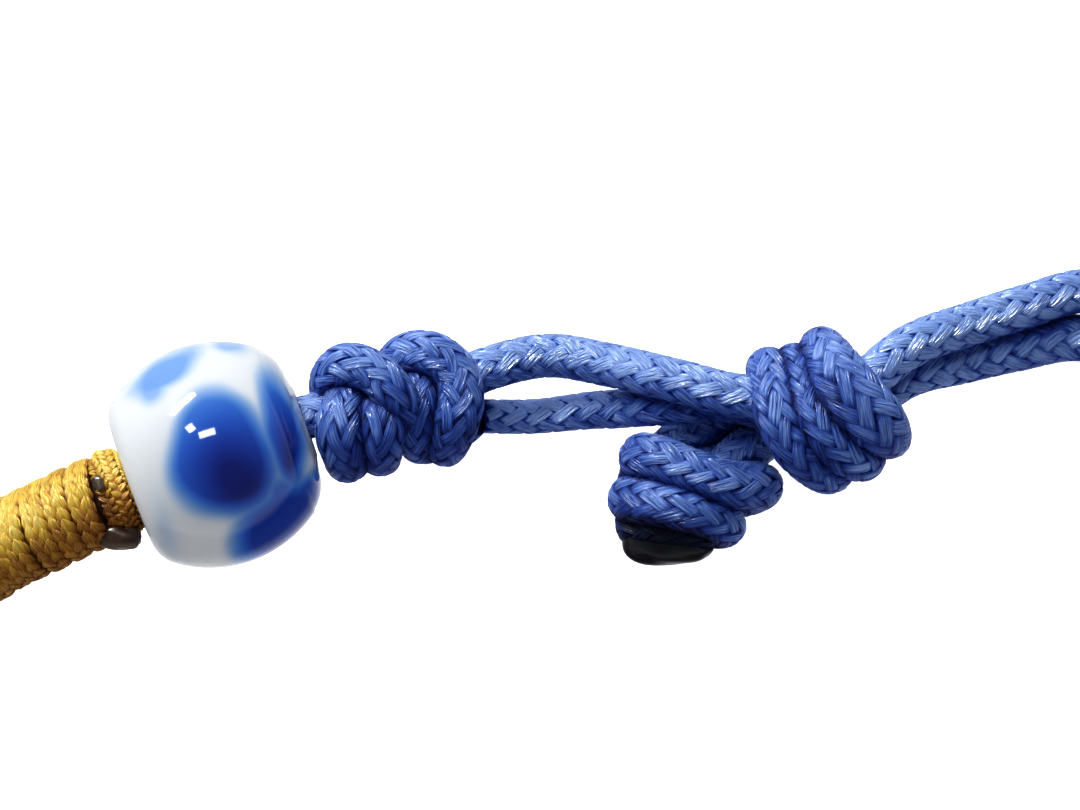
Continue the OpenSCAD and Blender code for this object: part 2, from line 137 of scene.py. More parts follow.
# Each knot's place, its turn about the vertical in degrees, and the radius of its filled middle
BEAD_KNOT_PLACE = (-0.00805, 0.01965, 0.004)
BEAD_KNOT_CORE_R = 0.0017
STRAND_KNOT_PLACE = (-0.0047, 0.0203, 0.0031)
STRAND_KNOT_CORE_R = 0.0015
SLIDER_PLACE = (0.0129, 0.0197, 0.00385)
SLIDER_TURN = 14
SLIDER_CORE_R = 0.0023
TAIL_PLACE = (0.00675, 0.0156, 0.0029)
TAIL_TURN = -20
TAIL_CORE_R = 0.0018
FAR_OUTER_PLACE = (0.0318, 0.0172, 0.0031)
FAR_INNER_PLACE = (0.0332, 0.0141, 0.0031)
FAR_TURN = 113

# The cord's braid, over two and under two: strands each way, the length of one turn, a strand's
# thickness, and how far it rises and dives; in the knots it is pressed flatter
Braid = namedtuple("Braid", "strands turn_length thickness rise")
CORD_BRAID = Braid(8, 0.0098, 0.0001, 0.00006)
KNOT_BRAID = Braid(10, 0.009, 0.00008, 0.00004)
# Section of one strand: across in half widths, out in thicknesses, and how bright it is there; the
# dark edges are painted shade for the creases between strands
STRAND_SECTION = np.array([(-1, 0.1, 0), (-0.92, 0.75, 0.6), (-0.55, 1, 1), (0.55, 1, 1),
                           (0.92, 0.75, 0.6), (1, 0.1, 0), (0, -0.5, 0)])
# Width of a strand as a share of the room between its neighbours, and how much it varies
STRAND_FILL = 1.18
STRAND_VARIES = 0.08
# How steeply a strand passes from over to under
DIVE_STEEPNESS = 2.4
# How far a strand sways from its even place, in radians round the cord, over what length, and
# how much later each strand does so than the one before
STRAND_SWAY = 0.05
SWAY_LENGTH = 0.0031
SWAY_LAG = 2.4
# Steps between rings where the cord shows, and where it is hidden
RING_STEP = 0.00016
HIDDEN_STEP = 0.0008
# In a knot, stretches of cord this near along it are one turn
SAME_TURN = 0.0026
# How far the painted shade in the grooves between a knot's turns, and between two cords side by side,
# reaches
GROOVE_REACH = 0.0005
WIDE_GROOVE_REACH = 0.001
# Painted shade on the side of a thread that faces the loop's middle: the share of its full colour
# that shows there, the facing at which that share begins to rise, and how much further round it is
# full; a facing of 1 is outwards
CORD_PAINTED_SHADE = (0.42, 0.2, 0.5)
THREAD_PAINTED_SHADE = (0.36, 0.36, 0.34)
# Shifts that keep the fibres of neighbouring strands and columns from being alike
STRAND_PATTERN_STEP = 3.7 * MM
COLUMN_PATTERN_STEP = 3.1 * MM


# Curves and meshes

def smooth(points, steps):
    """Points along a smooth curve through the given ones, with that many steps between two."""
    p = np.array(points, float)
    out = []
    for i in range(len(p) - 1):
        a, b = p[max(i - 1, 0)], p[i]
        c, d = p[i + 1], p[min(i + 2, len(p) - 1)]
        f = np.arange(steps)[:, None] / steps
        out.append(b + (c - a) * f / 2 + (2 * a - 5 * b + 4 * c - d) * f**2 / 2
                   + (3 * b - 3 * c + d - a) * f**3 / 2)
    return np.concatenate(out + [p[-1:]])


def lengths(line):
    """Distance of each point from the start of the line."""
    steps = np.linalg.norm(np.diff(line[:, :3], axis=0), axis=1)
    return np.concatenate([[0], np.cumsum(steps)])


def spaced(line, places):
    """The line's rows at the given distances from its start."""
    far = lengths(line)
    return np.stack([np.interp(places, far, line[:, k]) for k in range(line.shape[1])], axis=1)


def unit(v):
    """The vectors, each with a length of 1."""
    return v / np.linalg.norm(v, axis=-1, keepdims=True)


def heading_at(line, places):
    """The line's direction at the given distances from its start."""
    ahead = unit(np.gradient(line[:, :3], axis=0))
    return unit(spaced(np.concatenate([line[:, :3], ahead], axis=1), places)[:, 3:])


def turned_frames(line):
    """Heading and two cross directions at each point, carried along without twist."""
    ahead = unit(np.gradient(line, axis=0))
    first = np.cross(ahead[0], (0, 0, 1))
    side = [unit(first)]
    for t in ahead[1:]:
        side.append(unit(side[-1] - t * (side[-1] @ t)))
    side = np.array(side)
    return ahead, side, np.cross(side, ahead)


def upright_frames(line):
    """Heading, side and up at each point, with up as near to straight up as it goes."""
    ahead = unit(np.gradient(line, axis=0))
    side = unit(np.cross(ahead, (0, 0, 1)))
    return ahead, side, np.cross(side, ahead)


def grid_faces(rings, around, first=0):
    """Quads between rings that follow each other round a closed section."""
    i = np.arange(rings - 1)[:, None] * around
    k = np.arange(around)[None, :]
    n = (k + 1) % around
    quads = np.stack([i + k, i + n, i + around + n, i + around + k], axis=-1)
    return quads.reshape(-1, 4) + first


def end_caps(rings, around):
    """The two faces that close the ends of those rings."""
    return [range(around - 1, -1, -1), range((rings - 1) * around, rings * around)]


def scene_object(name, data):
    """A new object with that data, linked into the scene."""
    obj = bpy.data.objects.new(name, data)
    bpy.context.scene.collection.objects.link(obj)
    return obj


class Shape:
    """Points, faces and per-point values, gathered for one mesh."""

    def __init__(self):
        self.points = []
        self.quads = []
        self.caps = []
        self.along = []
        self.across = []
        self.lift = []
        self.count = 0

    def add(self, points, quads, caps=(), along=0, across=0, lift=1):
        """Adds a closed skin, turned so that its faces look outwards."""
        n = len(points)
        a, b, c, d = (points[quads[:, k]] - points[0] for k in range(4))
        inward = (np.cross(c - a, d - b) * (a + b + c + d)).sum() < 0
        way = -1 if inward else 1
        self.points.append(points)
        self.quads.append(quads[:, ::way] + self.count)
        self.caps += [[int(v) + self.count for v in list(cap)[::way]] for cap in caps]
        for store, value in ((self.along, along), (self.across, across), (self.lift, lift)):
            store.append(np.broadcast_to(value, n))
        self.count += n

    def piece(self, name, material):
        """Makes the gathered skins one mesh, with a UV map in millimetres and each point's painted
        light, its share of full colour, low where painted shade is.
        """
        points = np.concatenate(self.points)
        faces = np.concatenate(self.quads).tolist() + self.caps
        mesh = bpy.data.meshes.new(name)
        mesh.from_pydata(points.tolist(), [], faces)
        mesh.polygons.foreach_set("use_smooth", np.ones(len(mesh.polygons), bool))
        corner = np.zeros(len(mesh.loops), np.int32)
        mesh.loops.foreach_get("vertex_index", corner)
        weave = np.stack([np.concatenate(self.along), np.concatenate(self.across)], axis=1)
        mesh.uv_layers.new(name="weave").data.foreach_set("uv", (weave[corner] / MM).ravel())
        lift = mesh.attributes.new("lift", "FLOAT", "POINT")
        lift.data.foreach_set("value", np.concatenate(self.lift).astype(np.float32))
        mesh.materials.append(material)
        obj = scene_object(name, mesh)
        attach(obj, "root")
        return obj


def outer_share(out, places, painted_shade):
    """How much of a thread's full colour shows, less on the side that faces the loop's middle, as
    painted shade.
    """
    least, start, reach = painted_shade
    outer = 0.5 + 0.5 * (out[:, :2] * unit(places[:, :2])).sum(axis=1)
    return least + (1 - least) * np.clip((outer - start) / reach, 0, 1)


def strand_course(far, braid, way, k):
    """One strand's angle round the cord, its swing from -1 under to 1 over, and its sway's phase."""
    angle = way * 2 * math.pi / braid.turn_length * far + 2 * math.pi * k / braid.strands
    if way < 0:
        angle = angle + math.pi / braid.strands
    swing = way * np.clip(DIVE_STEEPNESS * np.cos(braid.strands / 2 * angle), -1, 1)
    phase = 2 * math.pi * far / SWAY_LENGTH + SWAY_LAG * k
    return angle + STRAND_SWAY * np.sin(phase + way), swing, phase


def add_braid(shape, line, radius, braid, openness):
    """A round braid along a line, with its crests at the given radius from it, and painted shade
    where strands dive under others, along their edges and on the loop's inner side.

    openness is a function that says how free of other turns each point lies, from 0 to 1; the less
    free, the more painted shade."""
    far = lengths(line)
    ahead, side, up = turned_frames(line)
    rate = 2 * math.pi / braid.turn_length
    share, height, bright = STRAND_SECTION.T
    n = len(line)
    sides = len(STRAND_SECTION)
    for way in (1, -1):
        for k in range(braid.strands):
            angle, swing, phase = strand_course(far, braid, way, k)
            out = side * np.cos(angle)[:, None] + up * np.sin(angle)[:, None]
            round_it = up * np.cos(angle)[:, None] - side * np.sin(angle)[:, None]
            place = radius - braid.thickness - braid.rise + braid.rise * swing
            strand_way = unit(ahead + way * (place * rate)[:, None] * round_it)
            across = unit(np.cross(out, strand_way))
            middle = line + out * place[:, None]
            gap = 2 * math.pi * place / braid.strands
            half_width = STRAND_FILL * gap / np.hypot(1, place * rate) / 2
            half_width = half_width * (1 + STRAND_VARIES * np.sin(0.6 * phase + 2 * way))
            width = half_width[:, None] * share[None, :]
            drop = width**2 / (2 * place)[:, None]
            above = braid.thickness * height[None, :] - drop * (height >= 0)
            ring = (middle[:, None, :] + across[:, None, :] * width[:, :, None]
                    + out[:, None, :] * above[:, :, None])
            strand_far = far * math.hypot(1, float(np.median(place)) * rate)
            # Painted shade: darker where a strand dives under, at its edges, on the loop's inner
            # side, and where other turns crowd it
            lift = ((0.5 + 0.5 * swing) * outer_share(out, line, CORD_PAINTED_SHADE))[:, None] * bright
            lift = lift * openness(ring, far)
            pattern = (k + braid.strands * (way > 0)) * STRAND_PATTERN_STEP
            shape.add(ring.reshape(-1, 3), grid_faces(n, sides), end_caps(n, sides),
                      along=np.repeat(strand_far, sides), across=width.ravel() + pattern,
                      lift=lift.ravel())


def braid_depth(braid):
    """How far under a braid's crests the filled inside of the cord begins."""
    return 2.4 * braid.rise + 0.6 * braid.thickness


def add_tube(shape, line, radius, sides, lift=0.0):
    """A plain closed tube, for what lies hidden under a braid or between turns; unless given more
    light, it is coloured as painted shade.
    """
    _, side, up = turned_frames(line)
    angle = 2 * math.pi * np.arange(sides) / sides
    ring = line[:, None, :] + np.asarray(radius).reshape(-1, 1, 1) * (
        side[:, None, :] * np.cos(angle)[None, :, None]
        + up[:, None, :] * np.sin(angle)[None, :, None])
    n = len(line)
    shape.add(ring.reshape(-1, 3), grid_faces(n, sides), end_caps(n, sides), lift=lift)


def turned(x, y, degrees):
    """Those places turned about the vertical."""
    a = math.radians(degrees)
    return x * math.cos(a) - y * math.sin(a), x * math.sin(a) + y * math.cos(a)


def placed(rows, place=(0, 0, 0), turn=0):
    """A knot's rows in metres, turned about the vertical and moved to its place."""
    r = np.array(rows, float) * CORD_R
    x, y = turned(r[:, 0], r[:, 1], turn)
    return np.stack([x + place[0], y + place[1], r[:, 2] + place[2], r[:, 3]], axis=1)


# Materials

def new_material(name):
    """A new material with its nodes, its surface shader and its links."""
    material = bpy.data.materials.new(name)
    material.use_nodes = True
    nodes = material.node_tree.nodes
    return material, nodes, nodes["Principled BSDF"], material.node_tree.links


def ramp_node(nodes, stops):
    """A colour ramp with stops of place and colour."""
    node = nodes.new("ShaderNodeValToRGB")
    ramp = node.color_ramp
    while len(ramp.elements) < len(stops):
        ramp.elements.new(0.5)
    for element, (place, colour) in zip(ramp.elements, stops):
        element.position = place
        element.color = (*colour, 1)
    return node


def maths(nodes, links, kind, a, b, clamp=False):
    """The result of a sum on two sockets or numbers, kept from 0 to 1 if clamped."""
    node = nodes.new("ShaderNodeMath")
    node.operation = kind
    node.use_clamp = clamp
    for socket, value in zip(node.inputs, (a, b)):
        if hasattr(value, "node"):
            links.new(value, socket)
        else:
            socket.default_value = value
    return node.outputs[0]


def noise(nodes, links, vector, scale, detail=2.0, roughness=0.5):
    """A noise field over the vector, from 0 to 1."""
    node = nodes.new("ShaderNodeTexNoise")
    node.inputs["Scale"].default_value = scale
    node.inputs["Detail"].default_value = detail
    node.inputs["Roughness"].default_value = roughness
    links.new(vector, node.inputs["Vector"])
    return node.outputs["Fac"]


def stretched(nodes, links, vector, factors):
    """The vector with its three parts multiplied by the factors."""
    node = nodes.new("ShaderNodeVectorMath")
    node.operation = "MULTIPLY"
    links.new(vector, node.inputs[0])
    node.inputs[1].default_value = factors
    return node.outputs[0]


def add_bump(nodes, links, height, strength, distance):
    """A bump over the surface's normal that follows the height."""
    node = nodes.new("ShaderNodeBump")
    node.inputs["Strength"].default_value = strength
    node.inputs["Distance"].default_value = distance
    links.new(height, node.inputs["Height"])
    return node.outputs[0]


# Scorched places next to the melted ends: middle, reach and how much darker
BLUE_SCORCH = ((0.0054, 0.0132, 0.0035), 0.0031, 1.2)
GOLD_SCORCH = ((-0.0194, 0.0157, 0.0062), 0.0012, 0.45)


def scorched(nodes, links, place, scorch):
    """How much darker each point is for lying near a scorched place, as 0 or less."""
    middle, reach, depth = scorch
    away = nodes.new("ShaderNodeVectorMath")
    away.operation = "DISTANCE"
    links.new(place, away.inputs[0])
    away.inputs[1].default_value = middle
    burnt = maths(nodes, links, "DIVIDE", away.outputs["Value"], reach)
    burnt = maths(nodes, links, "SUBTRACT", 1, burnt, True)
    return maths(nodes, links, "MULTIPLY", burnt, -depth)


def fibre_pattern(nodes, links, weave, fibre_rate):
    """Coarse and fine fibres that run along each strand."""
    coarse = noise(nodes, links, stretched(nodes, links, weave, (0.9, fibre_rate, 1)), 1, 2, 0.6)
    fine = noise(nodes, links, stretched(nodes, links, weave, (1.5, 1.8 * fibre_rate, 1)), 1, 1)
    return maths(nodes, links, "ADD", maths(nodes, links, "MULTIPLY", coarse, 0.65),
                 maths(nodes, links, "MULTIPLY", fine, 0.35))


def fibre_material(name, stops, fibre_rate, bump, roughness, coat, shift, depth, metal, gloss,
                   scorch):
    """Strands of fine parallel fibres, with painted shade, and duller, where they dive under others,
    lie in grooves, at their edges and on the loop's inner side.

    fibre_rate is how fine the fibres are; roughness is the least and the most; shift makes the whole
    of it paler; depth is how much painted shade the dives and grooves get; gloss is a tint and a
    level."""
    material, nodes, shader, links = new_material(name)
    weave = nodes.new("ShaderNodeUVMap")
    weave.uv_map = "weave"
    attribute = nodes.new("ShaderNodeAttribute")
    attribute.attribute_name = "lift"
    lift = attribute.outputs["Fac"]
    place = nodes.new("ShaderNodeTexCoord").outputs["Object"]
    fibres = fibre_pattern(nodes, links, weave.outputs[0], fibre_rate)
    patches = noise(nodes, links, stretched(nodes, links, weave.outputs[0], (0.8, 0.9, 1)), 1, 1)
    broad = noise(nodes, links, place, 330, 1)
    tone = maths(nodes, links, "ADD", scorched(nodes, links, place, scorch), shift - 0.5)
    # Painted shade in dives, grooves, strand edges and on the loop's inner side
    dive = maths(nodes, links, "MULTIPLY", lift, 1.5, True)
    for value, share in ((dive, depth), (fibres, 1.1), (patches, 0.4), (broad, 0.3)):
        tone = maths(nodes, links, "ADD", maths(nodes, links, "MULTIPLY", value, share), tone)
    colour = ramp_node(nodes, stops)
    links.new(tone, colour.inputs[0])
    links.new(colour.outputs[0], shader.inputs["Base Color"])
    low, high = roughness
    rough = maths(nodes, links, "MULTIPLY", patches, high - low)
    rough = maths(nodes, links, "ADD", rough, low)
    dull = maths(nodes, links, "SUBTRACT", 0.5, lift, True)
    links.new(maths(nodes, links, "ADD", rough, dull, True), shader.inputs["Roughness"])
    links.new(maths(nodes, links, "MULTIPLY", lift, coat), shader.inputs["Coat Weight"])
    gloss_tint, gloss_level = gloss
    shader.inputs["Specular Tint"].default_value = (*gloss_tint, 1)
    shader.inputs["Specular IOR Level"].default_value = gloss_level
    shader.inputs["Coat Roughness"].default_value = 0.18
    shader.inputs["Metallic"].default_value = metal
    bumped = add_bump(nodes, links, fibres, bump, 0.0004)
    links.new(bumped, shader.inputs["Normal"])
    links.new(bumped, shader.inputs["Coat Normal"])
    return material


BLUE_STOPS = [(0.0, (0.001, 0.0012, 0.016)), (0.25, (0.003, 0.007, 0.08)),
              (0.5, (0.013, 0.038, 0.26)), (0.75, (0.055, 0.125, 0.48)), (1.0, (0.23, 0.37, 0.78))]
GOLD_STOPS = [(0.0, (0.05, 0.012, 0.001)), (0.25, (0.22, 0.075, 0.006)), (0.5, (0.43, 0.19, 0.02)),
              (0.8, (0.75, 0.5, 0.055)), (1.0, (0.9, 0.7, 0.22))]
BLUE_GLOSS = ((0.6, 0.8, 1), 0.22)
GOLD_GLOSS = ((1, 0.95, 0.8), 0.4)
blue = fibre_material("waxed_blue_cord", BLUE_STOPS, fibre_rate=8, bump=1, roughness=(0.4, 0.6),
                      coat=1, shift=0.01, depth=0.6, metal=0, gloss=BLUE_GLOSS, scorch=BLUE_SCORCH)
tight_blue = fibre_material("waxed_blue_knots", BLUE_STOPS, fibre_rate=8, bump=1,
                            roughness=(0.4, 0.6), coat=0.45, shift=-0.105, depth=0.53, metal=0,
                            gloss=BLUE_GLOSS, scorch=BLUE_SCORCH)
gold = fibre_material("gold_thread", GOLD_STOPS, fibre_rate=14, bump=0.8, roughness=(0.4, 0.55),
                      coat=0.2, shift=-0.28, depth=0.7, metal=0.1, gloss=GOLD_GLOSS,
                      scorch=GOLD_SCORCH)

GLAZE_STOPS = [(0.0, (0.72, 0.71, 0.685)), (0.14, (0.6, 0.64, 0.68)), (0.28, (0.26, 0.4, 0.62)),
               (0.45, (0.07, 0.215, 0.57)), (0.65, (0.022, 0.1, 0.5)), (0.85, (0.011, 0.031, 0.28)),
               (1.0, (0.006, 0.01, 0.12))]

# Blotches on the bead, as seen from above: middle from the bead's own (right and up, in
# millimetres), half sizes and narrowing towards the top, turn in degrees, softness of the edge,
# strength, 1 for the upper side or -1 for the lower, and a darker core in the same terms or none
BLOTCHES = [
    ((0.28, 0.13), (2.35, 2.85, 0.28), 9, 0.52, 0.49, 1, ((1.05, -1), (2.1, 2.1, 0), -20, 1.5, 0.47)),
    ((3.1, -1.6), (1.05, 1, 0), 0, 1.3, 0.62, 1, None),
    ((-2.15, 3.65), (2.05, 0.74, 0), 32, 0.9, 0.37, 1, None),
    ((-2.6, 2.95), (0.8, 0.75, 0), 20, 1, 0.32, 1, None),
    ((0.67, 4.75), (0.95, 0.3, 0), -12, 1, 0.3, 1, None),
    ((3.06, 1.1), (2.75, 0.9, 0), -76, 0.8, 0.6, 1, ((3.45, 0), (1.7, 0.55, 0), -77, 1.5, 0.32)),
    ((3.05, -3.05), (2.45, 1.6, 0), 38, 0.75, 0.82, 1, None),
    ((4.1, -1.9), (1.4, 0.6, 0), 60, 0.9, 0.7, 1, None),
    ((-2.1, -3.4), (1.75, 0.7, 0), -75, 1.5, 0.2, 1, None),
    ((-1.9, 0.9), (1.8, 1.3, 0), 60, 0.4, 0.6, -1, ((-1.6, 0.6), (1.4, 1.2, 0), 60, 1.2, 0.35)),
    ((1.4, -1.5), (2.2, 1.5, 0), -20, 0.4, 0.65, -1, ((1.7, -1.6), (1.6, 1.3, 0), -20, 1.2, 0.35)),
    ((0.8, 3.2), (1.6, 0.9, 0), 10, 0.5, 0.6, -1, None),
    ((-1.6, -3.4), (1.6, 0.8, 0), -15, 0.5, 0.6, -1, None),
]
# How softly two blotches run into each other, and how far the waves in their edges go, in metres
BLOTCH_BLEND = 0.16
EDGE_WAVES = 0.0009


def waved(nodes, links, place):
    """The place with a slow shift to and fro, so that the blotches' edges are uneven."""
    waves = nodes.new("ShaderNodeTexNoise")
    waves.inputs["Scale"].default_value = 300
    waves.inputs["Detail"].default_value = 1
    links.new(place, waves.inputs["Vector"])
    centred = nodes.new("ShaderNodeVectorMath")
    centred.operation = "SUBTRACT"
    links.new(waves.outputs["Color"], centred.inputs[0])
    centred.inputs[1].default_value = (0.5, 0.5, 0.5)
    shifted = nodes.new("ShaderNodeVectorMath")
    shifted.operation = "MULTIPLY_ADD"
    links.new(centred.outputs[0], shifted.inputs[0])
    shifted.inputs[1].default_value = (EDGE_WAVES,) * 3
    links.new(place, shifted.inputs[2])
    return shifted.outputs[0]


def egg(nodes, links, place, middle, half, turn, soft):
    """An egg's strength, from 1 inside to 0 outside, and how far up a point is."""
    wide, long, narrowing = half
    local = nodes.new("ShaderNodeMapping")
    local.vector_type = "TEXTURE"
    links.new(place, local.inputs["Vector"])
    local.inputs["Location"].default_value = (BEAD_CENTRE[0] + middle[0] * MM,
                                              BEAD_CENTRE[1] + middle[1] * MM, BEAD_CENTRE[2])
    local.inputs["Rotation"].default_value = (0, 0, math.radians(turn))
    local.inputs["Scale"].default_value = (wide * MM, long * MM, MM)
    parts = nodes.new("ShaderNodeSeparateXYZ")
    links.new(local.outputs[0], parts.inputs[0])
    squeeze = maths(nodes, links, "MULTIPLY", parts.outputs[1], -narrowing)
    squeeze = maths(nodes, links, "ADD", squeeze, 1)
    sides = (maths(nodes, links, "DIVIDE", parts.outputs[0], squeeze), parts.outputs[1])
    square = [maths(nodes, links, "MULTIPLY", side, side) for side in sides]
    away = maths(nodes, links, "POWER", maths(nodes, links, "ADD", *square), 0.5)
    inside = maths(nodes, links, "DIVIDE", maths(nodes, links, "SUBTRACT", 1, away), soft)
    return maths(nodes, links, "ADD", inside, 0.5, True), parts.outputs[2]


def glaze_material():
    """Glossy white glaze with soft cobalt blotches in it."""
    material, nodes, shader, links = new_material("blue_and_white_glaze")
    shader.inputs["Roughness"].default_value = 0.06
    shader.inputs["Coat Weight"].default_value = 0.3
    shader.inputs["Coat Roughness"].default_value = 0.02
    place = waved(nodes, links, nodes.new("ShaderNodeTexCoord").outputs["Object"])
    total = 0.0
    for middle, half, turn, soft, strength, side, core in BLOTCHES:
        field, height = egg(nodes, links, place, middle, half, turn, soft)
        if core:
            deep, _ = egg(nodes, links, place, *core[:4])
            deep = maths(nodes, links, "MULTIPLY", deep, core[4])
            strength = maths(nodes, links, "ADD", deep, strength)
        field = maths(nodes, links, "MULTIPLY", field, strength)
        facing = maths(nodes, links, "MULTIPLY", height, 2.5 * side, True)
        field = maths(nodes, links, "MULTIPLY", field, facing)
        total = maths(nodes, links, "SMOOTH_MAX", total, field)
        total.node.inputs[2].default_value = BLOTCH_BLEND
    colour = ramp_node(nodes, GLAZE_STOPS)
    colour.color_ramp.interpolation = "B_SPLINE"
    links.new(total, colour.inputs[0])
    links.new(colour.outputs[0], shader.inputs["Base Color"])
    return material


def lower_rim(nodes, links, place, colour, rim):
    """The colour with a paler one let in towards the lower edge, between the rim's two places."""
    pale, start, end = rim
    parts = nodes.new("ShaderNodeSeparateXYZ")
    links.new(place, parts.inputs[0])
    share = maths(nodes, links, "SUBTRACT", start, parts.outputs[1])
    share = maths(nodes, links, "DIVIDE", share, start - end, True)
    mix = nodes.new("ShaderNodeMix")
    mix.data_type = "RGBA"
    links.new(share, mix.inputs["Factor"])
    links.new(colour, mix.inputs[6])
    mix.inputs[7].default_value = (*pale, 1)
    return mix.outputs[2]


def melted_material(name, dark, light, rim=None):
    """Melted cord with fine spots; rim is a paler colour and the places along y where it starts
    and is full."""
    material, nodes, shader, links = new_material(name)
    place = nodes.new("ShaderNodeTexCoord").outputs["Object"]
    spots = noise(nodes, links, place, 1500, 3)
    ramp = ramp_node(nodes, [(0.35, dark), (0.7, light)])
    links.new(spots, ramp.inputs[0])
    colour = ramp.outputs[0]
    if rim:
        colour = lower_rim(nodes, links, place, colour, rim)
    links.new(colour, shader.inputs["Base Color"])
    shader.inputs["Roughness"].default_value = 0.3
    links.new(add_bump(nodes, links, spots, 0.35, 0.0001), shader.inputs["Normal"])
    return material


# Camera

def add_camera():
    """A long lens straight above the stretch that the picture shows."""
    data = bpy.data.cameras.new("camera")
    data.lens = LENS
    data.sensor_width = SENSOR
    data.clip_start = 0.01
    data.clip_end = 10
    camera = scene_object("camera", data)
    distance = PICTURE_WIDTH * LENS / SENSOR
    camera.location = (PICTURE_MIDDLE[0], PICTURE_MIDDLE[1], PICTURE_MIDDLE[2] + distance)
    bpy.context.scene.camera = camera


# Cords and knots

def openness_beside(other):
    """A function for how free of the other cord, given by its middle line, the points lie; it paints
    shade where the two cords lie close.
    """
    def openness(points, far):
        away = np.linalg.norm(points[:, :, None, :] - other[None, None, :, :], axis=-1)
        share = (away.min(axis=2) - CORD_R) / WIDE_GROOVE_REACH
        return np.clip(share, 0.1, 1)
    return openness


def cord(name, node, first, last, hidden_rows, slim=((0, 1), (1, 1)), aside=((0, 0), (1, 0))):
    """One braided cord along the route; the stretch inside the winding has coarse rings.

    slim and aside are tables like those of the closing cord."""
    line = smooth(LOOP_ROUTE[first:last + 1], CURVE_STEPS)
    far = lengths(line)
    hidden_from, hidden_to = (far[CURVE_STEPS * (row - first)] for row in hidden_rows)
    fine = far[-1] - (hidden_to - hidden_from)
    hidden = np.arange(hidden_from, hidden_to, HIDDEN_STEP)
    shown = np.linspace(0, fine, int(fine / RING_STEP))
    # The winding hides the closing cord's last stretch and the bead cord's first
    if hidden_from > 0:
        places = np.concatenate([shown[shown < hidden_from], hidden])
    else:
        places = np.concatenate([hidden, shown + hidden_to])
    rows = spaced(line, np.unique(places))
    rows[:, 1] += np.interp(lengths(rows), *np.array(aside).T)
    shape = Shape()
    radius = CORD_R * np.interp(lengths(rows), *np.array(slim).T)
    # Painted shade where this cord lies against the other cord
    other = LOOP_ROUTE[:WINDING_FAR_ROW] if first else LOOP_ROUTE[WINDING_BEAD_ROW:]
    add_braid(shape, rows, radius, CORD_BRAID, openness_beside(smooth(other, 6)))
    # Dark core in painted shade under the braid
    add_tube(shape, rows[::3], radius[::3] - braid_depth(CORD_BRAID), 8)
    obj = shape.piece(name, blue)
    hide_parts(node)
    return obj, line


def openness_in(chain, chains):
    """A function for how free of the knot's other turns the points on one chain lie; it paints shade
    in the grooves between turns.
    """
    def openness(points, far):
        share = np.ones(points.shape[:2])
        for other in chains:
            rows = other[::3]
            away = np.linalg.norm(points[:, :, None, :] - rows[None, None, :, :3], axis=-1)
            away = away - rows[:, 3]
            if other is chain:
                # A point's own turn counts as a metre further away
                beside = np.abs(far[:, None] - far[None, ::3]) < SAME_TURN
                away = away + beside[:, None, :]
            share = np.minimum(share, away.min(axis=2) / GROOVE_REACH)
        return np.clip(share, 0, 1)**0.6
    return openness


def knot(name, node, turns, place, turn, core_r, more=()):
    """A knot of braided turns, with more stretches if it has any, round a filled middle in painted
    shade.
    """
    shape = Shape()
    fine_chains = []
    for rows in [placed(turns, place, turn), *more]:
        line = smooth(rows, CURVE_STEPS)
        far = lengths(line)
        fine_chains.append(spaced(line, np.linspace(0, far[-1], int(far[-1] / RING_STEP))))
    for fine in fine_chains:
        add_braid(shape, fine[:, :3], fine[:, 3], KNOT_BRAID, openness_in(fine, fine_chains))
        add_tube(shape, fine[::4, :3], fine[::4, 3] - braid_depth(KNOT_BRAID), 8)
    poles = np.linspace(-0.98, 0.98, 12)
    core = np.array(place) + np.stack([poles * core_r, poles * 0, poles * 0], axis=1)
    # The filled middle is coloured as painted shade
    add_tube(shape, core, core_r * np.sqrt(1 - poles**2), 16)
    obj = shape.piece(name, tight_blue)
    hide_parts(node)
    return obj


add_camera()
bead_cord, bead_line = cord("braided_bead_cord", "bead_cord", CORDS_MEET_ROW + 1,
                            len(LOOP_ROUTE) - 1, (CORDS_MEET_ROW + 1, WINDING_BEAD_ROW - 1))
closing_cord, closing_line = cord("braided_closing_cord", "closing_cord", 0, CORDS_MEET_ROW,
                                  (WINDING_FAR_ROW + 1, CORDS_MEET_ROW), CLOSING_SLIM,
                                  CLOSING_ASIDE)
bead_knot = knot("bead_knot_turns", "bead_knot", BEAD_KNOT_TURNS, BEAD_KNOT_PLACE, 0,
                 BEAD_KNOT_CORE_R)
strand_knot = knot("strand_knot_turns", "strand_knot", STRAND_KNOT_TURNS, STRAND_KNOT_PLACE, 0,
                   STRAND_KNOT_CORE_R)
slider_knot = knot("slider_knot_turns", "slider_knot", SLIDER_TURNS, SLIDER_PLACE, SLIDER_TURN,
                   SLIDER_CORE_R)
knot("tail_knot_turns", "tail_knot", TAIL_TURNS, TAIL_PLACE, TAIL_TURN, TAIL_CORE_R,
     [placed(TAIL_LOOP), placed(TAIL_STRAND), placed(TAIL_INSIDE, TAIL_PLACE, TAIL_TURN)])
far_outer = knot("far_outer_turns", "far_knot_outer", STRAND_KNOT_TURNS, FAR_OUTER_PLACE,
                 FAR_TURN, STRAND_KNOT_CORE_R)
far_inner = knot("far_inner_turns", "far_knot_inner", BEAD_KNOT_TURNS, FAR_INNER_PLACE,
                 FAR_TURN, BEAD_KNOT_CORE_R)


# Gold winding

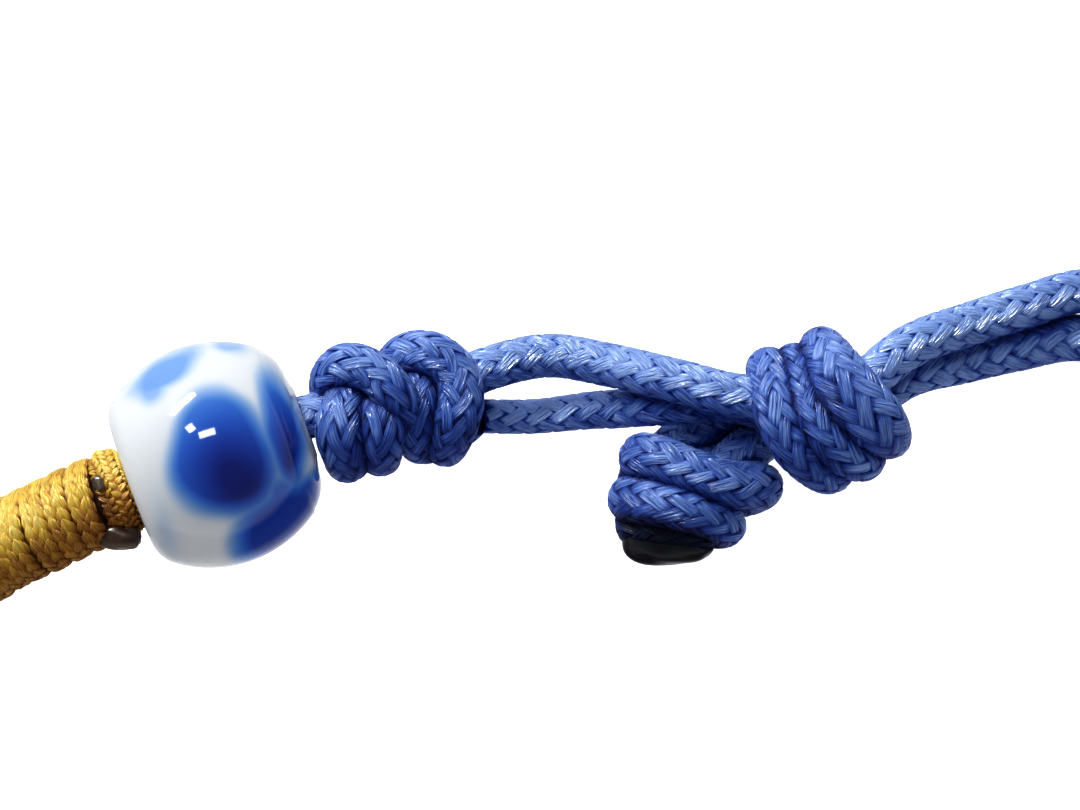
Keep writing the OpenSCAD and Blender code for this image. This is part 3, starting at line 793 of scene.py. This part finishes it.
def scale(stations, section):
    """One closed scale, its raised tip ahead: points as along, across and out, and its faces.

    stations are places along with half width and height; section is places across with drop."""
    points = [(-1, 0, -0.5)]
    for x, wide, high in stations:
        points += [(x, wide * across, high - drop if drop < 1 else -0.5) for across, drop in section]
    points.append((1, 0, 0.4))
    n = len(section)
    quads = grid_faces(len(stations), n, 1)
    caps = [(0, 1 + (k + 1) % n, 1 + k) for k in range(n)]
    last, first = len(points) - 1, len(points) - 1 - n
    caps += [(last, first + k, first + (k + 1) % n) for k in range(n)]
    return np.array(points, float), quads, caps


def thread_rows(line, places, turns):
    """Where the cord's middle is at those places, and the outward direction at those turns."""
    _, side, up = upright_frames(line)
    rows = spaced(np.concatenate([line, side, up], axis=1), places)
    middle, side, up = rows[:, :3], unit(rows[:, 3:6]), unit(rows[:, 6:])
    angle = -2 * math.pi * turns
    return middle, up * np.cos(angle)[:, None] + side * np.sin(angle)[:, None]


# How much a scale's place along the thread varies, in steps, its slant in radians, and its size
PLACE_VARIES = 0.08
SLANT_VARIES = 0.2
SIZE_VARIES = 0.1
# How far the base thread is sunk so that the scales cover it, and its brightness, low so that it
# shows as painted shade between the scales
BASE_SINK = 0.09 * MM
BASE_PAINTED_LIGHT = 0.3


def thread_path(line, first, last, per_turn, pitch, tuck):
    """The gold thread's middle line and its outward direction, in so many steps per turn."""
    turns = np.linspace(first, last, int((last - first) * per_turn) + 1)
    places = turns * pitch if pitch else np.full(len(turns), lengths(line)[-1] - THREAD_R)
    middle, out = thread_rows(line, places, turns)
    under = tuck * np.clip(turns - last + 1, 0, 1)
    return middle + out * (WINDING_R - THREAD_R - under)[:, None], out


def add_scales(shape, line, out, at, size, column, form, rng, pattern):
    """One column of overlapping scales at those places, with painted shade on the low parts of each
    scale and on the loop's inner side.

    size is half a scale's length and width, and its height."""
    points, quads, caps = form
    shift, lean, slant = column
    half_length, half_width, height = size
    # Painted shade on each scale's low parts, where neighbouring scales overlap it
    bright = np.clip(0.35 + 0.65 * points[:, 2], 0, 1)
    # Each scale bends round the band
    bend = (half_length * points[:, 0])**2 / (2 * WINDING_R)
    points = points - np.array((0, 0, 1)) * bend[:, None] / height
    rows = spaced(np.concatenate([line, out], axis=1), at)
    ahead = heading_at(line, at)
    outward = unit(rows[:, 3:])
    sideways = unit(np.cross(outward, ahead))
    tilt = math.radians(lean)
    normal = unit(outward * math.cos(tilt) + sideways * math.sin(tilt))
    slant = math.radians(slant) + rng.uniform(-SLANT_VARIES, SLANT_VARIES, len(at))
    cell_x = unit(ahead * np.cos(slant)[:, None] + np.cross(normal, ahead) * np.sin(slant)[:, None])
    cell_y = np.cross(normal, cell_x)
    foot = THREAD_R - height - abs(shift) * math.sin(abs(tilt)) * 0.6
    base = rows[:, :3] + sideways * shift + outward * foot
    grow = rng.uniform(1 - SIZE_VARIES, 1 + SIZE_VARIES, (len(at), 1, 1))
    cells = base[:, None, :] + grow * sum(
        axis[:, None, :] * (size[k] * points[:, k])[None, :, None]
        for k, axis in enumerate((cell_x, cell_y, normal)))
    n = len(points)
    starts = np.arange(len(at)) * n
    # Painted shade on the side that faces the loop's middle
    inner_side_shade = outer_share(outward, base, THREAD_PAINTED_SHADE)
    shape.add(cells.reshape(-1, 3), (quads[None] + starts[:, None, None]).reshape(-1, 4),
              [[int(v + s) for v in cap] for s in starts for cap in caps],
              along=np.tile(half_length * points[:, 0], len(at)) + np.repeat(at, n),
              across=np.tile(half_width * points[:, 1], len(at)) + pattern,
              lift=np.tile(bright, len(at)) * np.repeat(inner_side_shade, n))


def winding(name, line, first, last, seed, cell_step, cell_size, columns, form,
            pitch=THREAD_PITCH, tuck=0):
    """Turns of braided gold thread: a base thread in painted shade under columns of overlapping
    scales.

    first and last are the turns; with no pitch, the thread is one ring at the line's end.
    tuck is how far the last turn dips under what follows."""
    rng = np.random.default_rng(seed)
    shape = Shape()
    base, out = thread_path(line, first, last, 16, pitch, tuck)
    add_tube(shape, base - out * BASE_SINK, THREAD_R, 10, BASE_PAINTED_LIGHT)
    path, out = thread_path(line, first, last, 96, pitch, tuck)
    length = lengths(path)[-1]
    for n, column in enumerate(columns):
        at = np.arange(cell_step * (0.6 + 0.5 * (n % 2)), length - 0.5 * cell_step, cell_step)
        at = at + rng.uniform(-PLACE_VARIES, PLACE_VARIES, len(at)) * cell_step
        add_scales(shape, path, out, at, cell_size, column, form, rng, n * COLUMN_PATTERN_STEP)
    obj = shape.piece(name, gold)
    return obj


# Half a scale's length and width, its height, and the step between two, on the band and the collar
CELL_SIZE = (0.00052, 0.00038, 0.00012)
CELL_STEP = 0.00049
COLLAR_CELL_SIZE = (0.0003, 0.00017, 0.00013)
COLLAR_CELL_STEP = 0.00033
# Turns beside the bead that have full scales; the turn at which the band and the collar start,
# how much of a turn is left for the collar, and how far the last turn dips under it
NEAR_TURNS = 30
FIRST_TURN = 0.5
COLLAR_ROOM = 0.55
COLLAR_TUCK = 0.00028
# Columns of scales: place across the thread in metres, lean and slant in degrees
TWO_COLUMNS = ((-0.00027, -15, 6), (0.00027, 15, 6))
FIVE_COLUMNS = ((-0.00062, -50, 45), (-0.00032, -24, -45), (0, 0, 40), (0.00032, 24, -45),
                (0.00062, 50, 45))
# A full scale, and a plainer one for the far side of the loop
FULL_SCALE = scale([(-0.85, 0.75, -0.1), (-0.4, 1, 0.4), (0.1, 0.9, 0.75), (0.5, 0.58, 0.95),
                    (0.82, 0.2, 1)],
                   [(-1, 1), (-0.88, 0.35), (-0.45, 0.08), (0, 0), (0.45, 0.08), (0.88, 0.35),
                    (1, 1)])
PLAIN_SCALE = scale([(-0.5, 0.95, 0.2), (0.15, 0.95, 0.75), (0.65, 0.55, 1)],
                    [(-1, 1), (-0.8, 0.2), (0, 0), (0.8, 0.2), (1, 1)])
# The stretch of the loop under the winding
band = smooth(LOOP_ROUTE, CURVE_STEPS)
band = band[CURVE_STEPS * WINDING_FAR_ROW:CURVE_STEPS * WINDING_BEAD_ROW + 1]
band_turns = lengths(band)[-1] / THREAD_PITCH
far_band = winding("gold_winding_far", band, FIRST_TURN, band_turns - NEAR_TURNS, 3, CELL_STEP,
                   CELL_SIZE, TWO_COLUMNS, PLAIN_SCALE)
# The bead's glaze doesn't mirror the far side of the loop
far_band.visible_glossy = False
near_band = winding("gold_winding_near", band, band_turns - NEAR_TURNS, band_turns - COLLAR_ROOM,
                    4, CELL_STEP, CELL_SIZE, TWO_COLUMNS, FULL_SCALE, tuck=COLLAR_TUCK)
winding("gold_collar", band, FIRST_TURN, FIRST_TURN + 1, 5, COLLAR_CELL_STEP, COLLAR_CELL_SIZE,
        FIVE_COLUMNS, FULL_SCALE, pitch=0)
# A core in painted shade under the winding, so that gaps between turns show dark
sleeve_shape = Shape()
add_tube(sleeve_shape, band[::6], WINDING_R - 0.7 * THREAD_PITCH, 16)
sleeve = sleeve_shape.piece("thread_under_winding", gold)
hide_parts("gold_winding")


# Bead

# Radii of the bead's crown, of its rounded edges and of the lips of its hole; the end by the knots
# is domed by so much, and that much narrower half way in
CROWN_R = 0.0056
EDGE_R = 0.0016
LIP_R = 0.0003
DOME_RISE = 0.00035
DOME_NARROWS = 0.00015


def bead_profile():
    """Half outline of the bead, as distance from the hole's middle and place along it."""
    half = BEAD_LEN / 2
    crown_drop = CROWN_R - BEAD_R
    edge_z = half - EDGE_R
    edge_x = math.sqrt((CROWN_R - EDGE_R)**2 - edge_z**2) - crown_drop
    crown_end = math.atan2(edge_z, edge_x + crown_drop)
    side = [(CROWN_R * math.cos(a) - crown_drop, CROWN_R * math.sin(a))
            for a in np.linspace(-crown_end, crown_end, 41)]
    edge = [(edge_x + EDGE_R * math.cos(a), edge_z + EDGE_R * math.sin(a))
            for a in np.linspace(crown_end, math.pi / 2, 15)[1:]]
    flat = [(edge_x + (BEAD_HOLE_R + LIP_R - edge_x) * k / 6, half) for k in range(1, 7)]
    lips = [(BEAD_HOLE_R + LIP_R * (1 - math.sin(a)), half - LIP_R * (1 - math.cos(a)))
            for a in np.linspace(0, math.pi / 2, 6)[1:]]
    lower = [(x, -z) for x, z in reversed(edge + flat + lips)]
    dome = []
    for x, z in edge + flat:
        share = min(1, (BEAD_R - x) / (BEAD_R - BEAD_HOLE_R))
        dome.append((x - DOME_NARROWS * math.sin(math.pi * share)**2, z + DOME_RISE * share**2))
    return lower + side + dome + [(x, z + DOME_RISE) for x, z in lips]


def add_bead():
    """The bead with its hole: its profile turned about the hole's middle line."""
    profile = np.array(bead_profile())
    around = 160
    angle = 2 * math.pi * np.arange(around) / around
    hole_way = np.array((math.cos(BEAD_TURN), math.sin(BEAD_TURN), 0))
    side = np.array((-math.sin(BEAD_TURN), math.cos(BEAD_TURN), 0))
    up = np.array((0, 0, 1))
    spokes = side[None, :] * np.cos(angle)[:, None] + up[None, :] * np.sin(angle)[:, None]
    points = (np.array(BEAD_CENTRE) + hole_way * profile[:, 1, None, None]
              + spokes[None] * profile[:, 0, None, None])
    shape = Shape()
    rings = len(profile)
    step = np.arange(around)
    last_ring = (rings - 1) * around
    closing = np.stack([step + last_ring, (step + 1) % around + last_ring, (step + 1) % around,
                        step], axis=1)
    quads = np.concatenate([grid_faces(rings, around), closing])
    shape.add(points.reshape(-1, 3), quads)
    obj = shape.piece("glazed_bead", glaze_material())
    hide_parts("porcelain_bead")


add_bead()


# Melted ends

def lump(name, node, middle, half, turn, material, dents, taper=0):
    """A rounded lump of melted cord, dented by a few slow waves, and narrower at one end."""
    rings, around = 40, 56
    rise = math.pi * (np.arange(rings) + 0.5) / rings
    angle = 2 * math.pi * np.arange(around) / around
    x = np.sin(rise)[:, None] * np.cos(angle)[None, :]
    y = np.sin(rise)[:, None] * np.sin(angle)[None, :]
    z = np.cos(rise)[:, None] + 0 * x
    swell = 1 + dents * (np.sin(3.1 * x + 2.3 * z + 1) * np.cos(2.7 * y - 1.7 * z)
                         + 0.5 * np.sin(6.1 * y + 4.7 * x) * np.cos(5.3 * z + 2))
    p = np.stack([x, y * (1 - taper * x), z], axis=-1).reshape(-1, 3)
    p = p * swell.reshape(-1, 1) * np.array(half)
    p = np.stack([*turned(p[:, 0], p[:, 1], turn), p[:, 2]], axis=1)
    shape = Shape()
    shape.add(p + np.array(middle), grid_faces(rings, around), end_caps(rings, around))
    obj = shape.piece(name, material)
    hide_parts(node)


black = melted_material("melted_blue_black", (0.004, 0.004, 0.007), (0.011, 0.012, 0.018))
grey = melted_material("scorched_grey", (0.04, 0.028, 0.02), (0.19, 0.15, 0.1))
brown = melted_material("scorched_brown", (0.012, 0.005, 0.003), (0.06, 0.03, 0.018),
                        rim=((0.2, 0.16, 0.11), 0.01395, 0.0135))
lump("melted_tip", "melted_end", (0.00568, 0.0139, 0.0029), (0.00215, 0.0011, 0.0013), -8,
     black, dents=0.05, taper=0.3)
lump("small_scorched_tip", "thread_end_small", (-0.01952, 0.01655, 0.0069),
     (0.00038, 0.00026, 0.00024), -60, grey, dents=0.12)
lump("large_scorched_tip", "thread_end_large", (-0.01862, 0.01417, 0.0058),
     (0.00102, 0.00064, 0.0006), 2, brown, dents=0.08, taper=-0.15)


# Floor and light

# Half the floor's side, and how far it lies under the part
FLOOR_HALF = 1.5
FLOOR_DROP = 0.00003


def add_floor():
    """A pale floor that shines a little, so that the ground is nearly white."""
    material, nodes, shader, links = new_material("pale_floor")
    shader.inputs["Base Color"].default_value = (0.9, 0.9, 0.9, 1)
    shader.inputs["Roughness"].default_value = 0.9
    shader.inputs["Emission Color"].default_value = (1, 1, 1, 1)
    shader.inputs["Emission Strength"].default_value = 0.85
    mesh = bpy.data.meshes.new("floor")
    corners = [(x * FLOOR_HALF, y * FLOOR_HALF, 0) for x, y in ((-1, -1), (1, -1), (1, 1), (-1, 1))]
    mesh.from_pydata(corners, [], [(0, 1, 2, 3)])
    mesh.materials.append(material)
    obj = scene_object("floor", mesh)
    obj.location.z = -FLOOR_DROP
    obj.visible_glossy = False


def add_lamp(name, way, distance, size, power, roll=0, diffuse=True, glossy=True):
    """A rectangular lamp in a direction from the bead, facing it, rolled by some degrees."""
    data = bpy.data.lights.new(name, "AREA")
    data.shape = "RECTANGLE"
    data.size, data.size_y = size
    data.energy = power
    obj = scene_object(name, data)
    back = unit(np.array(way, float))
    right = unit(np.cross((0, 0, 1), back))
    place = Matrix.Translation(np.array(BEAD_CENTRE) + back * distance)
    facing = Matrix((right, np.cross(back, right), back)).transposed().to_4x4()
    obj.matrix_world = place @ facing @ Matrix.Rotation(math.radians(roll), 4, "Z")
    obj.visible_camera = False
    obj.visible_diffuse = diffuse
    obj.visible_glossy = glossy


def add_world():
    """Surroundings: pale straight below and just above the horizon, dark between, dim overhead."""
    world = bpy.data.worlds.new("studio")
    world.use_nodes = True
    nodes, links = world.node_tree.nodes, world.node_tree.links
    way = nodes.new("ShaderNodeSeparateXYZ")
    links.new(nodes.new("ShaderNodeTexCoord").outputs["Generated"], way.inputs[0])
    sky = ramp_node(nodes, [(0.0, (0.8, 0.8, 0.82)), (0.07, (0.45, 0.46, 0.48)),
                            (0.2, (0.05, 0.05, 0.055)), (0.45, (0.03, 0.03, 0.035)),
                            (0.52, (0.55, 0.56, 0.58)), (0.65, (0.35, 0.36, 0.38)),
                            (0.85, (0.12, 0.125, 0.135))])
    height = maths(nodes, links, "MULTIPLY", way.outputs[2], 0.5)
    links.new(maths(nodes, links, "ADD", height, 0.5), sky.inputs[0])
    links.new(sky.outputs[0], nodes["Background"].inputs["Color"])
    bpy.context.scene.world = world


add_floor()
add_world()
WINDOW = {"way": (-0.46, 0.77, 0.45), "distance": 0.5, "size": (0.21, 0.04), "roll": 20}
add_lamp("window", power=1.7, **WINDOW)
add_lamp("window_glint", power=8, diffuse=False, **WINDOW)
add_lamp("lamp_left", (-0.36, 0.45, 0.81), 0.5, (0.06, 0.07), 0.25)
add_lamp("lamp_top", (-0.11, 0.37, 0.92), 0.5, (0.13, 0.06), 0.4)
add_lamp("fill", (0.1, -0.1, 1), 0.6, (0.6, 0.6), 0.3, glossy=False)
bpy.context.scene.view_settings.view_transform = "Standard"
bpy.context.scene.view_settings.look = "Medium High Contrast"
